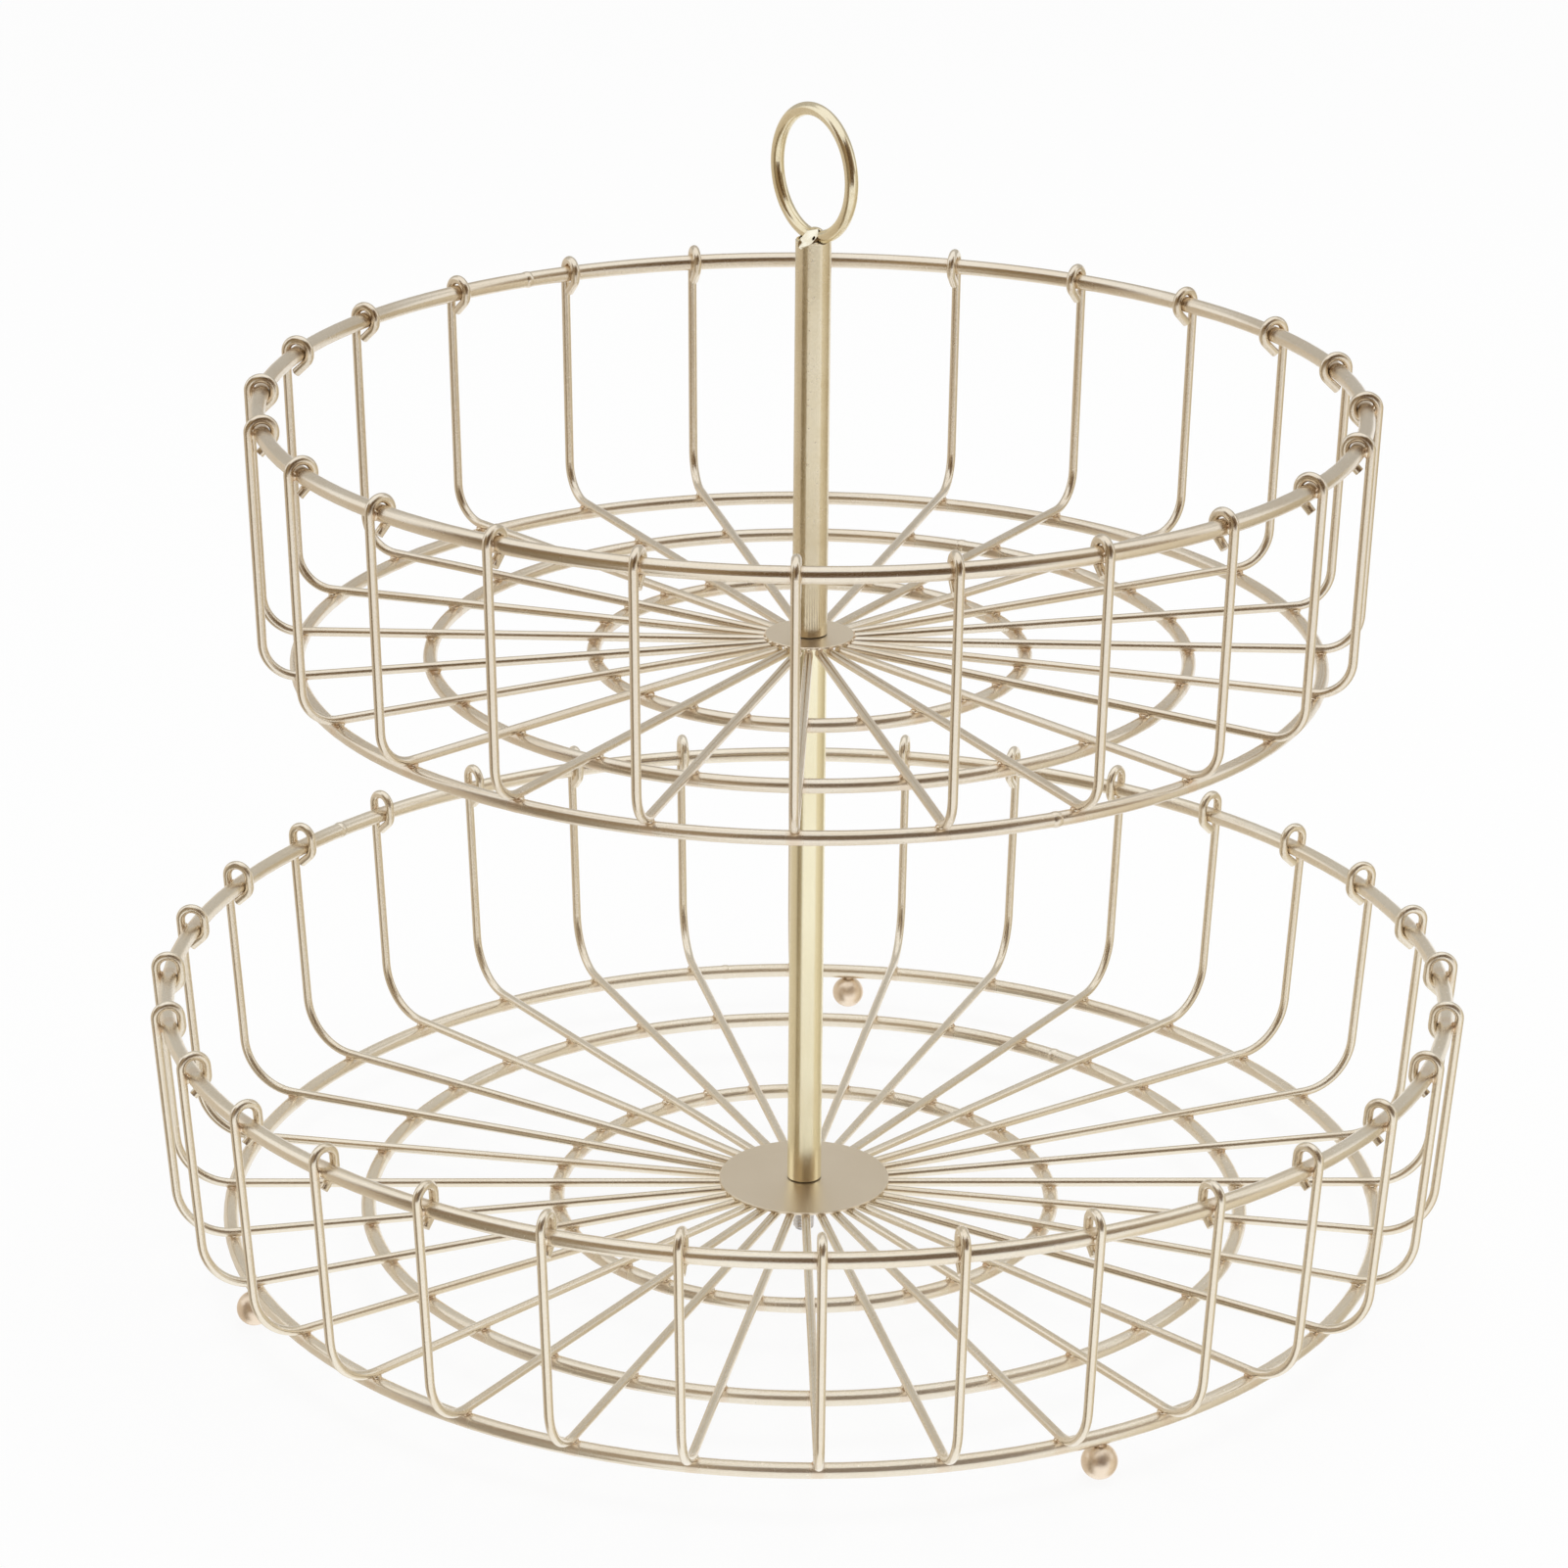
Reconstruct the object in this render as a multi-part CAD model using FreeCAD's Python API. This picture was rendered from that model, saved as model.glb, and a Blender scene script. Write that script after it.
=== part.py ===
import FreeCAD
import Part
import math
import os
from dataclasses import dataclass

# Two-tier round wire basket on a centre pole. Millimetres, +Z up.
# The origin is on the floor, on the axis of the pole. -Y is the front.

# Wire diameters
rim_wire = 3.7
rib_wire = 2.1
lower_base_wire = 3.5
upper_base_wire = 3.2
handle_wire = 3.0

# Lower basket
lower_rim_outer_diameter = 300.0
lower_depth = 53.0  # from the spokes' centre line up to the rim's
lower_outer_ring_diameter = 270.2  # centre line of the wire, as for the other base rings
lower_middle_ring_diameter = 205.8
lower_inner_ring_diameter = 117.0
lower_rib_count = 32
lower_first_rib_angle = 1.2
lower_bend_radius = 13.0  # centre line of the bend from spoke to upright
lower_hook_rise = 2.3  # how far the hook's crown is lifted off the rim
lower_tail_turn = 52.0  # turn of the hook's end, under the rim and outward
lower_spoke_end_gap = 0.85  # between neighbouring spokes at their inner ends
lower_disc_lap = 5.0  # spoke length that lies under the hub disc

# Upper basket
upper_rim_outer_diameter = 250.0
upper_depth = 56.5
upper_outer_ring_diameter = 232.0
upper_middle_ring_diameter = 172.0
upper_inner_ring_diameter = 98.0
upper_rib_count = 24
upper_first_rib_angle = 13.4
upper_bend_radius = 8.5
upper_hook_rise = 0.3
upper_tail_turn = 48.0
upper_spoke_end_gap = 0.32
upper_disc_lap = 0.8

# Hub discs
disc_thickness = 0.6
disc_edge_chamfer = 0.12

# Ball feet
foot_diameter = 8.0
foot_flat_depth = 0.15  # the ball is flat where it stands on the floor
foot_angles = (85.0, 202.0, 298.0)

# Centre pole
tube_diameter = 8.0
tube_wall = 0.7
tube_end_chamfer = 0.25
lower_tube_length = 135.4
upper_tube_length = 92.0

# Threaded inserts and studs
insert_length = 12.0
insert_recess = 0.3  # the insert sits this far inside the tube's end
stud_diameter = 5.0
stud_engagement = 8.0  # thread in mesh at each insert
stud_end_chamfer = 0.6
bottom_stud_tail = 7.8  # thread that shows below the nut
nut_across_flats = 8.0
nut_thickness = 4.0
nut_corner_chamfer = 0.5
washer_diameter = 10.0
washer_thickness = 1.0

# Ring handle
handle_outer_diameter = 31.2
handle_seat_depth = 0.8  # how deep the ring sits in the saddle at the tube's top
handle_turn = -55.0  # from +X, about the pole
weld_flat_turn = -86.3  # the way that the ground flat at the handle's weld faces, from the handle's plane
weld_flat_rise = 42.5  # how far the flat faces up from level
weld_flat_start = -0.4  # where the flat starts along its width, from the pole's axis

# Clearances
weld_gap = 0.01  # left between two wires at a welded crossing
tail_gap = 0.4  # between the cut tail of a hook and its own upright
insert_fit = 0.03  # radial, insert in tube
thread_fit = 0.05  # radial, stud in a thread
hole_clearance = 0.1  # radial, stud in a plain hole

ribs_per_node = 2

ORIGIN = FreeCAD.Vector(0, 0, 0)
UP = FreeCAD.Vector(0, 0, 1)


@dataclass
class Basket:
    """Sizes and heights of one tier, worked out from the driving dimensions."""

    name: str
    rim_radius: float
    outer_ring_radius: float
    middle_ring_radius: float
    inner_ring_radius: float
    base_wire: float
    spoke_height: float
    depth: float
    rib_count: int
    first_rib_angle: float
    bend_radius: float
    hook_rise: float
    tail_turn: float
    spoke_end_gap: float
    disc_lap: float

    @property
    def ring_height(self):
        """Centre line of the base rings, which lie under the spokes."""
        return self.spoke_height - rib_wire / 2 - weld_gap - self.base_wire / 2

    @property
    def rim_height(self):
        return self.spoke_height + self.depth

    @property
    def disc_bottom(self):
        """The hub disc lies on the spokes."""
        return self.spoke_height + rib_wire / 2 + weld_gap

    @property
    def disc_top(self):
        return self.disc_bottom + disc_thickness

    @property
    def spoke_end_radius(self):
        """Where the spokes' inner ends leave the stated gap between neighbours."""
        half_pitch = math.pi / self.rib_count
        return (rib_wire + self.spoke_end_gap) / (2 * math.sin(half_pitch))

    @property
    def disc_radius(self):
        return self.spoke_end_radius + self.disc_lap


def lower_basket():
    """The large tier, built up from the floor: ball, base ring, spoke, disc."""
    ring_height = foot_diameter - foot_flat_depth + weld_gap + lower_base_wire / 2
    return Basket(
        name="lower",
        rim_radius=(lower_rim_outer_diameter - rim_wire) / 2,
        outer_ring_radius=lower_outer_ring_diameter / 2,
        middle_ring_radius=lower_middle_ring_diameter / 2,
        inner_ring_radius=lower_inner_ring_diameter / 2,
        base_wire=lower_base_wire,
        spoke_height=ring_height + lower_base_wire / 2 + weld_gap + rib_wire / 2,
        depth=lower_depth,
        rib_count=lower_rib_count,
        first_rib_angle=lower_first_rib_angle,
        bend_radius=lower_bend_radius,
        hook_rise=lower_hook_rise,
        tail_turn=lower_tail_turn,
        spoke_end_gap=lower_spoke_end_gap,
        disc_lap=lower_disc_lap,
    )


def upper_basket(disc_bottom):
    """The small tier, hung by its hub disc, which rests on the lower tube."""
    return Basket(
        name="upper",
        rim_radius=(upper_rim_outer_diameter - rim_wire) / 2,
        outer_ring_radius=upper_outer_ring_diameter / 2,
        middle_ring_radius=upper_middle_ring_diameter / 2,
        inner_ring_radius=upper_inner_ring_diameter / 2,
        base_wire=upper_base_wire,
        spoke_height=disc_bottom - weld_gap - rib_wire / 2,
        depth=upper_depth,
        rib_count=upper_rib_count,
        first_rib_angle=upper_first_rib_angle,
        bend_radius=upper_bend_radius,
        hook_rise=upper_hook_rise,
        tail_turn=upper_tail_turn,
        spoke_end_gap=upper_spoke_end_gap,
        disc_lap=upper_disc_lap,
    )


def export(node, solids):
    """Write one node: a solid, or a group of separate solids."""
    shape = solids[0] if len(solids) == 1 else Part.makeCompound(solids)
    shape.exportStep(os.path.join("parts", node + ".step"))


def turned(profile):
    """A solid of revolution about the pole from a closed outline of (radius, height) points."""
    points = [FreeCAD.Vector(radius, 0, height) for radius, height in profile]
    face = Part.Face(Part.makePolygon(points + points[:1]))
    return face.revolve(ORIGIN, UP, 360)


def sleeve(outer, inner, bottom, top, chamfer):
    """A turned ring or tube with both outer edges chamfered."""
    return turned([
        (inner, bottom),
        (outer - chamfer, bottom),
        (outer, bottom + chamfer),
        (outer, top - chamfer),
        (outer - chamfer, top),
        (inner, top),
    ])


def wire_ring(radius, wire, height):
    """A closed ring of round wire, lying level."""
    return Part.makeTorus(radius, wire / 2, FreeCAD.Vector(0, 0, height), UP)


def polar(centre, radius, angle):
    """A point on a circle in a rib's own plane, which is the XZ plane."""
    return centre + FreeCAD.Vector(radius * math.cos(angle), 0, radius * math.sin(angle))


def arc(centre, radius, start, end):
    """An arc in the XZ plane, from its start angle to its end angle."""
    middle = polar(centre, radius, (start + end) / 2)
    return Part.Arc(polar(centre, radius, start), middle, polar(centre, radius, end)).toShape()


def rib(basket):
    """One rib, pointing along +X: spoke, bend, upright, hook over the rim and cut tail."""
    wrap_radius = (rim_wire + rib_wire) / 2 + weld_gap
    rim = FreeCAD.Vector(basket.rim_radius, 0, basket.rim_height)
    bend = FreeCAD.Vector(basket.outer_ring_radius, 0, basket.spoke_height + basket.bend_radius)

    # The upright is the line that touches the bend and passes close outside the rim.
    reach = rim - bend
    slope = math.atan2(reach.z, reach.x)
    lean = slope - math.acos((basket.bend_radius - wrap_radius) / reach.Length)
    along = FreeCAD.Vector(-math.sin(lean), 0, math.cos(lean))
    crown = rim + along * basket.hook_rise

    # The tail runs straight on from the hook until it is tail_gap short of the upright.
    turn = math.radians(basket.tail_turn)
    room = wrap_radius - rib_wire / 2
    tail_length = (room * (1 + math.cos(turn)) - tail_gap) / math.sin(turn)
    tail_end = lean + math.pi + turn
    tail_along = FreeCAD.Vector(-math.sin(tail_end), 0, math.cos(tail_end))

    start = FreeCAD.Vector(basket.spoke_end_radius, 0, basket.spoke_height)
    under_bend = polar(bend, basket.bend_radius, -math.pi / 2)
    foot_of_upright = polar(bend, basket.bend_radius, lean)
    outer_crown = polar(crown, wrap_radius, lean)
    inner_crown = polar(crown, wrap_radius, lean + math.pi)
    inner_rim = polar(rim, wrap_radius, lean + math.pi)
    tail_start = polar(rim, wrap_radius, tail_end)
    path = Part.Wire([
        Part.makeLine(start, under_bend),
        arc(bend, basket.bend_radius, -math.pi / 2, lean),
        Part.makeLine(foot_of_upright, outer_crown),
        arc(crown, wrap_radius, lean, lean + math.pi),
        Part.makeLine(inner_crown, inner_rim),
        arc(rim, wrap_radius, lean + math.pi, tail_end),
        Part.makeLine(tail_start, tail_start + tail_along * tail_length),
    ])
    section = Part.Wire([Part.makeCircle(rib_wire / 2, start, FreeCAD.Vector(1, 0, 0))])
    return path.makePipeShell([section], True, False)


def hub_disc(basket):
    """Thin round plate with a plain hole for the stud."""
    hole = stud_diameter / 2 + hole_clearance
    return sleeve(basket.disc_radius, hole, basket.disc_bottom, basket.disc_top, disc_edge_chamfer)


def export_basket(basket):
    """Rim, base rings, hub disc and ribs of one tier."""
    rings = {
        "base_ring_outer": basket.outer_ring_radius,
        "base_ring_middle": basket.middle_ring_radius,
        "base_ring_inner": basket.inner_ring_radius,
    }
    export(basket.name + "_rim", [wire_ring(basket.rim_radius, rim_wire, basket.rim_height)])
    for ring_name, radius in rings.items():
        ring = wire_ring(radius, basket.base_wire, basket.ring_height)
        export(f"{basket.name}_{ring_name}", [ring])
    export(basket.name + "_hub_disc", [hub_disc(basket)])

    pattern = rib(basket)
    pitch = 360 / basket.rib_count
    for group, first in enumerate(range(0, basket.rib_count, ribs_per_node)):
        ribs = []
        for index in range(first, min(first + ribs_per_node, basket.rib_count)):
            copy = pattern.copy()
            copy.rotate(ORIGIN, UP, basket.first_rib_angle + index * pitch)
            ribs.append(copy)
        export(f"{basket.name}_ribs_{group + 1:02d}", ribs)


def export_feet(basket):
    """Balls under the outer base ring, each flat where it meets the floor."""
    radius = foot_diameter / 2
    centre = FreeCAD.Vector(basket.outer_ring_radius, 0, radius - foot_flat_depth)
    ball = Part.makeSphere(radius, centre)
    floor = Part.makeBox(foot_diameter, foot_diameter, foot_diameter)
    floor.translate(FreeCAD.Vector(centre.x - radius, -radius, -foot_diameter))
    foot = ball.cut(floor)
    for number, angle in enumerate(foot_angles, start=1):
        copy = foot.copy()
        copy.rotate(ORIGIN, UP, angle)
        export(f"ball_foot_{number}", copy.Solids)


def threaded_insert(bottom):
    """Bush in a tube's end, with the thread drawn as a plain bore."""
    outer = tube_diameter / 2 - tube_wall - insert_fit
    inner = stud_diameter / 2 + thread_fit
    return sleeve(outer, inner, bottom, bottom + insert_length, tube_end_chamfer)


def stud(bottom, top):
    """Threaded rod, drawn at its outside diameter, with chamfered ends."""
    radius = stud_diameter / 2
    return turned([
        (0, bottom),
        (radius - stud_end_chamfer, bottom),
        (radius, bottom + stud_end_chamfer),
        (radius, top - stud_end_chamfer),
        (radius - stud_end_chamfer, top),
        (0, top),
    ])


def hexagon_nut(bottom):
    """Hexagon nut with its corners chamfered at both ends."""
    corner_radius = nut_across_flats / math.sqrt(3)
    corners = [polar(ORIGIN, corner_radius, math.radians(60 * side)) for side in range(6)]
    outline = [FreeCAD.Vector(point.x, point.z, bottom) for point in corners]
    hexagon = Part.Face(Part.makePolygon(outline + outline[:1]))
    prism = hexagon.extrude(UP * nut_thickness)
    bore = stud_diameter / 2 + thread_fit
    turning = sleeve(corner_radius, bore, bottom, bottom + nut_thickness, nut_corner_chamfer)
    return prism.common(turning).Solids


def ring_handle(tube_top, clearance):
    """The upright ring, or with a clearance the saddle that it sits in."""
    radius = (handle_outer_diameter - handle_wire) / 2
    height = tube_top - handle_seat_depth + handle_outer_diameter / 2
    angle = math.radians(handle_turn)
    across = FreeCAD.Vector(-math.sin(angle), math.cos(angle), 0)
    return Part.makeTorus(radius, handle_wire / 2 + clearance, FreeCAD.Vector(0, 0, height), across)


def weld_flat(tube_top):
    """The metal that is ground off the tube's mouth, level with the side of the handle's wire."""
    size = 2 * tube_diameter
    wire_radius = handle_wire / 2
    wire_height = wire_radius - handle_seat_depth
    offset = wire_radius + wire_height * math.sin(math.radians(weld_flat_rise))
    block = Part.makeBox(size, size, size, FreeCAD.Vector(offset, weld_flat_start, -size / 2))
    block.rotate(ORIGIN, FreeCAD.Vector(0, -1, 0), weld_flat_rise)
    block.rotate(ORIGIN, UP, handle_turn + weld_flat_turn)
    block.translate(UP * tube_top)
    return block


def export_pole(lower, upper):
    """Tubes, inserts, studs, nut, washer and ring handle."""
    outer = tube_diameter / 2
    inner = outer - tube_wall
    lower_foot = lower.disc_top
    lower_head = lower_foot + lower_tube_length
    upper_foot = upper.disc_top
    upper_head = upper_foot + upper_tube_length
    washer_bottom = lower.disc_bottom - washer_thickness
    nut_bottom = washer_bottom - nut_thickness
    foot_insert = lower_foot + insert_recess
    head_insert = lower_head - insert_recess - insert_length
    upper_insert = upper_foot + insert_recess

    export("lower_tube", [sleeve(outer, inner, lower_foot, lower_head, tube_end_chamfer)])
    export("lower_tube_foot_insert", [threaded_insert(foot_insert)])
    export("lower_tube_head_insert", [threaded_insert(head_insert)])
    export("bottom_stud", [stud(nut_bottom - bottom_stud_tail, foot_insert + stud_engagement)])
    washer_hole = stud_diameter / 2 + hole_clearance
    washer = sleeve(washer_diameter / 2, washer_hole, washer_bottom, lower.disc_bottom, disc_edge_chamfer)
    export("bottom_washer", [washer])
    export("bottom_nut", hexagon_nut(nut_bottom))

    stud_bottom = head_insert + insert_length - stud_engagement
    export("joining_stud", [stud(stud_bottom, upper_insert + stud_engagement)])
    export("upper_tube_insert", [threaded_insert(upper_insert)])
    upper_tube = sleeve(outer, inner, upper_foot, upper_head, tube_end_chamfer)
    upper_tube = upper_tube.cut(ring_handle(upper_head, weld_gap)).cut(weld_flat(upper_head))
    export("upper_tube", upper_tube.Solids)
    export("ring_handle", [ring_handle(upper_head, 0)])


def main():
    os.makedirs("parts", exist_ok=True)
    lower = lower_basket()
    upper = upper_basket(lower.disc_top + lower_tube_length)
    export_basket(lower)
    export_basket(upper)
    export_feet(lower)
    export_pole(lower, upper)


main()
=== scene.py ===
"""Looks of a two-tier round wire basket on a centre pole.

Metres, +Z up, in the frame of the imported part. The front of the basket faces -Y. Outlines and sizes of
welds are written in millimetres and turned to metres where they are used.
"""

import logging
import math
import random
from dataclasses import dataclass, field, replace
from enum import Enum
from typing import Any, Iterator, Mapping, Optional, Sequence, Union

import bmesh
import bpy
from bpy.types import Material, NodeSocket, NodeTree, Object
from mathutils import Matrix, Vector


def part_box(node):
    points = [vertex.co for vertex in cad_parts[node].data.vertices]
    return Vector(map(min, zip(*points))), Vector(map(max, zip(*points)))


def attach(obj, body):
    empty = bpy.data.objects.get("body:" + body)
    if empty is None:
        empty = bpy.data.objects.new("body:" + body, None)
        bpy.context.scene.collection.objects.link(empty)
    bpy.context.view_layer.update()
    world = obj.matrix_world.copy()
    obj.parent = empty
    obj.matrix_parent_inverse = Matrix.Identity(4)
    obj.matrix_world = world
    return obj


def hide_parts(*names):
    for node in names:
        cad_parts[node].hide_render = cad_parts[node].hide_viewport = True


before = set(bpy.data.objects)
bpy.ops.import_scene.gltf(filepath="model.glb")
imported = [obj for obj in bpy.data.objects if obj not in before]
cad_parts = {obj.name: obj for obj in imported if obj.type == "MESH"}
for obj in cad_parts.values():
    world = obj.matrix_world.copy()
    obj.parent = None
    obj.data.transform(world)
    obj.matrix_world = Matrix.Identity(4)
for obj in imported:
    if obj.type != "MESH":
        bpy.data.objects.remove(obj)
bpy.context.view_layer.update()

LOG = logging.getLogger("tiered_wire_basket")
MM = 0.001

Colour = tuple[float, float, float]
Band = tuple[float, float]
Number = Union[float, "Value"]

WHITE = (1.0, 1.0, 1.0, 1.0)
ORIGIN = (0.0, 0.0, 0.0)
UP = (0.0, 0.0, 1.0)


class Value:
    """A shader socket that takes part in arithmetic. Each operator adds one Math node."""

    def __init__(self, graph: "Graph", socket: NodeSocket) -> None:
        """Keep the socket and the graph that it belongs to."""
        self.graph = graph
        self.socket = socket

    def __add__(self, other: Number) -> "Value":
        """The sum of two values."""
        return self.graph.math("ADD", self, other)

    __radd__ = __add__

    def __sub__(self, other: Number) -> "Value":
        """This value less the other."""
        return self.graph.math("SUBTRACT", self, other)

    def __rsub__(self, other: Number) -> "Value":
        """The other value less this one."""
        return self.graph.math("SUBTRACT", other, self)

    def __mul__(self, other: Number) -> "Value":
        """The product of two values."""
        return self.graph.math("MULTIPLY", self, other)

    __rmul__ = __mul__

    def __truediv__(self, other: Number) -> "Value":
        """This value divided by the other."""
        return self.graph.math("DIVIDE", self, other)

    def __rtruediv__(self, other: Number) -> "Value":
        """The other value divided by this one."""
        return self.graph.math("DIVIDE", other, self)

    def __or__(self, other: Number) -> "Value":
        """The larger of two masks."""
        return self.graph.math("MAXIMUM", self, other)

    __ror__ = __or__


class Graph:
    """Adds nodes to one node tree, from texture coordinates to its output."""

    MIX_FACTOR, MIX_A, MIX_B, MIX_RESULT = 0, 6, 7, 2

    def __init__(self, tree: NodeTree) -> None:
        """Start from an empty tree."""
        tree.nodes.clear()
        self.tree = tree

    def node(
        self,
        kind: str,
        settings: Optional[Mapping[str, Any]] = None,
        inputs: Optional[Mapping[Union[str, int], Any]] = None,
        output: Union[str, int] = 0,
    ) -> Value:
        """Add one node.

        Args:
            kind: the node's type.
            settings: the node's own properties, which are set first.
            inputs: numbers, colours or values to link, by the socket's name or place.
            output: the socket to hand back, by its name or place.

        Returns:
            The chosen output.
        """
        made = self.tree.nodes.new(kind)
        for name, setting in (settings or {}).items():
            setattr(made, name, setting)
        for key, given in (inputs or {}).items():
            if isinstance(given, Value):
                self.tree.links.new(given.socket, made.inputs[key])
            else:
                made.inputs[key].default_value = given
        return Value(self, made.outputs[output])

    def math(self, operation: str, *inputs: Number) -> Value:
        """One Math node."""
        return self.node("ShaderNodeMath", {"operation": operation}, dict(enumerate(inputs)))

    def vector(self, operation: str, *inputs: Any, output: Union[str, int] = "Vector") -> Value:
        """One Vector Math node."""
        return self.node("ShaderNodeVectorMath", {"operation": operation}, dict(enumerate(inputs)), output)

    def mix(self, start: Any, end: Any, factor: Number) -> Value:
        """A colour between two colours."""
        inputs = {self.MIX_FACTOR: factor, self.MIX_A: rgba(start), self.MIX_B: rgba(end)}
        return self.node("ShaderNodeMix", {"data_type": "RGBA"}, inputs, self.MIX_RESULT)

    def place(self) -> Value:
        """The point on the piece, in the basket's own frame."""
        return self.node("ShaderNodeTexCoord", output="Object")

    def split(self, vector: Value) -> tuple[Value, Value, Value]:
        """The three parts of a vector."""
        parts = self.node("ShaderNodeSeparateXYZ", inputs={0: vector}).socket.node
        return tuple(Value(self, socket) for socket in parts.outputs)

    def join(self, *parts: Number) -> Value:
        """A vector from its three parts."""
        return self.node("ShaderNodeCombineXYZ", inputs=dict(enumerate(parts)))

    def pole_distance(self, place: Value) -> Value:
        """The distance of a point from the axis of the pole."""
        level = self.vector("MULTIPLY", place, (1.0, 1.0, 0.0))
        return self.vector("LENGTH", level, output="Value")

    def noise(self, place: Value, size: float, detail: float = 2.0) -> Value:
        """Soft noise from 0 to 1, with blotches of about the given size."""
        inputs = {"Vector": place, "Scale": 1.0 / size, "Detail": detail}
        return self.node("ShaderNodeTexNoise", inputs=inputs)

    def ramp(self, value: Value, start: float, end: float, low: float = 0.0, high: float = 1.0) -> Value:
        """A smooth step.

        Args:
            value: what the step follows.
            start: the value at which it begins.
            end: the value at which it is over.
            low: what it gives up to its start.
            high: what it gives from its end on.

        Returns:
            A number between low and high.
        """
        settings = {"interpolation_type": "SMOOTHSTEP"}
        inputs = {"Value": value, "From Min": start, "From Max": end, "To Min": low, "To Max": high}
        return self.node("ShaderNodeMapRange", settings, inputs)

    def bump(self, height: Value, depth: float) -> Value:
        """A normal that follows a height from 0 to 1 over the given depth."""
        return self.node("ShaderNodeBump", inputs={"Strength": 1.0, "Distance": depth, "Height": height})

    def seen_or_mirrored(self) -> Value:
        """Tell what the picture shows from what lights it.

        Returns:
            1 for rays that come from the camera, straight or by way of metal or glass, and 0 for light.
        """
        rays = self.node("ShaderNodeLightPath").socket.node.outputs
        names = ("Is Camera Ray", "Is Glossy Ray", "Is Transmission Ray")
        camera, glossy, transmission = (Value(self, rays[name]) for name in names)
        return camera | glossy | transmission

    def output(self, shader: Value, kind: str = "ShaderNodeOutputMaterial") -> None:
        """Lead a shader to the tree's output."""
        self.tree.links.new(shader.socket, self.tree.nodes.new(kind).inputs["Surface"])


def rgba(colour: Any) -> Any:
    """A colour with its fourth part, or a linked value as it is."""
    return colour if isinstance(colour, Value) else (*colour, 1.0)


def new_graph(name: str) -> tuple[Material, Graph]:
    """Start a material.

    Args:
        name: its name.

    Returns:
        The new material and the graph that fills it.
    """
    material = bpy.data.materials.new(name)
    material.use_nodes = True
    return material, Graph(material.node_tree)


class Grain(Enum):
    """The way in which the fine grain of a finish runs."""

    EVEN = "even"
    ALONG_POLE = "along the pole"
    ROUND_POLE = "round the pole"


@dataclass(frozen=True)
class HeatMarks:
    """Where welding has warmed a wire: along circles for a rib, at even angles for a ring."""

    circles: tuple[tuple[float, float], ...] = ()
    count: int = 0
    first_angle: float = 0.0
    reach: float = 2.4 * MM
    core: float = 0.5 * MM

    def mask(self, graph: Graph, place: Value) -> Number:
        """How strongly a point is marked.

        Args:
            graph: the graph to add nodes to.
            place: the point on the piece.

        Returns:
            A mask from 0 to 1.
        """
        if not self.circles and not self.count:
            return 0.0
        x, y, height = graph.split(place)
        radius = graph.pole_distance(place)
        marked: Number = 0.0
        for circle_radius, circle_height in self.circles:
            gap = graph.join(radius - circle_radius, height - circle_height, 0.0)
            marked = marked | graph.ramp(graph.vector("LENGTH", gap, output="Value"), self.reach, self.core)
        if self.count:
            pitch = 2 * math.pi / self.count
            turns = (graph.math("ARCTAN2", y, x) - self.first_angle) / pitch
            along = graph.math("PINGPONG", turns, 0.5) * pitch * radius
            marked = marked | graph.ramp(along, self.reach, self.core)
        return marked


@dataclass(frozen=True)
class PlateJoint:
    """Where a tube stands on a level plate."""

    height: float

    def gap(self, graph: Graph, place: Value) -> Value:
        """The distance of a point from the plate."""
        return graph.split(place)[2] - self.height


@dataclass(frozen=True)
class RingJoint:
    """Where an upright ring of round wire, centred on the pole, sits in a tube's mouth."""

    height: float
    radius: float
    wire: float
    turn: float

    def gap(self, graph: Graph, place: Value) -> Value:
        """Measure how far a point is from the ring's wire.

        Args:
            graph: the graph to add nodes to.
            place: the point on the tube.

        Returns:
            The distance, in metres.
        """
        across = (-math.sin(self.turn), math.cos(self.turn), 0.0)
        offset = graph.vector("DOT_PRODUCT", place, across, output="Value")
        level = graph.vector("SUBTRACT", place, (0.0, 0.0, self.height))
        reach = graph.vector("LENGTH", level, output="Value")
        in_plane = graph.math("SQRT", reach * reach - offset * offset)
        to_line = graph.join(in_plane - self.radius, offset, 0.0)
        return graph.vector("LENGTH", to_line, output="Value") - self.wire / 2


Joint = Union[PlateJoint, RingJoint]


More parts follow.
